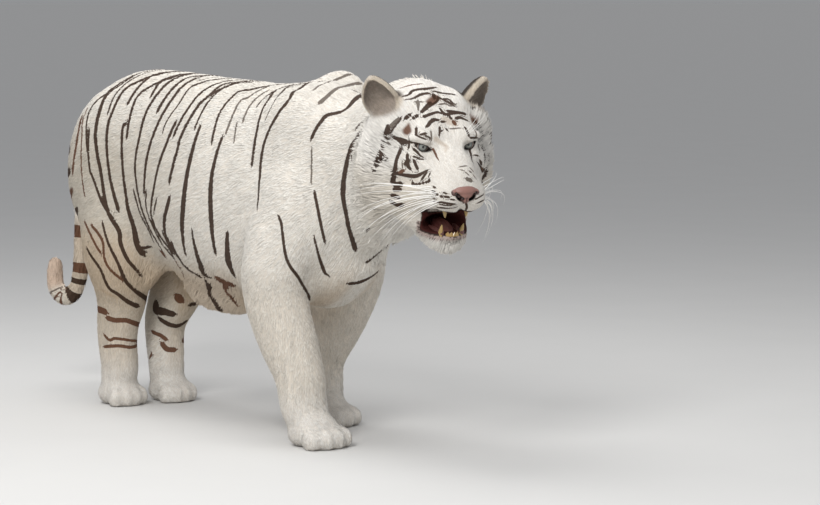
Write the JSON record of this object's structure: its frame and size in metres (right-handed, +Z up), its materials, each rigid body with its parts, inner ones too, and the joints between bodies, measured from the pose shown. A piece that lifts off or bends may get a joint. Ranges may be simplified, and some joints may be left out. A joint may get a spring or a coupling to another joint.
{
  "type": "white tiger figure",
  "caption": "Life-size white tiger in mid-stride on all its feet, head turned to its right, mouth slightly open and tail hanging with a curled tip.",
  "frame": {"origin": "on the floor, under the middle of the model's box", "axes": "+X the way the body faces, +Y to the animal's left, +Z up"},
  "size_m": [1.9334, 0.4694, 0.9485],
  "materials": {
    "coat": "soft short fur, creamy white with dark brown stripes",
    "ear_fur": "soft fur, grey-brown within and pale on the rim",
    "eye": "gloss, pale blue iris with a black pupil",
    "nose_leather": "matt, moist pink-brown",
    "teeth": "satin, yellowish ivory",
    "tongue": "moist pink"
  },
  "bodies": {
    "root": {"canine_lower_left": "teeth", "canine_lower_right": "teeth", "canine_upper_left": "teeth", "canine_upper_right": "teeth", "ear_left": "ear_fur", "ear_right": "ear_fur", "eye_left": "eye", "eye_right": "eye", "foreleg_left_lower": "coat", "foreleg_left_upper": "coat", "foreleg_right_lower": "coat", "foreleg_right_upper": "coat", "forepaw_left": "coat", "forepaw_right": "coat", "head": "coat", "hindleg_left_lower": "coat", "hindleg_left_upper": "coat", "hindleg_right_lower": "coat", "hindleg_right_upper": "coat", "hindpaw_left": "coat", "hindpaw_right": "coat", "incisors_lower": "teeth", "lower_jaw": "coat", "neck": "coat", "nose": "nose_leather", "tail_base": "coat", "tail_curl": "coat", "tail_lower": "coat", "tail_tip": "coat", "tail_upper": "coat", "tongue": "tongue", "trunk": "coat"}
  },
  "joints": []
}
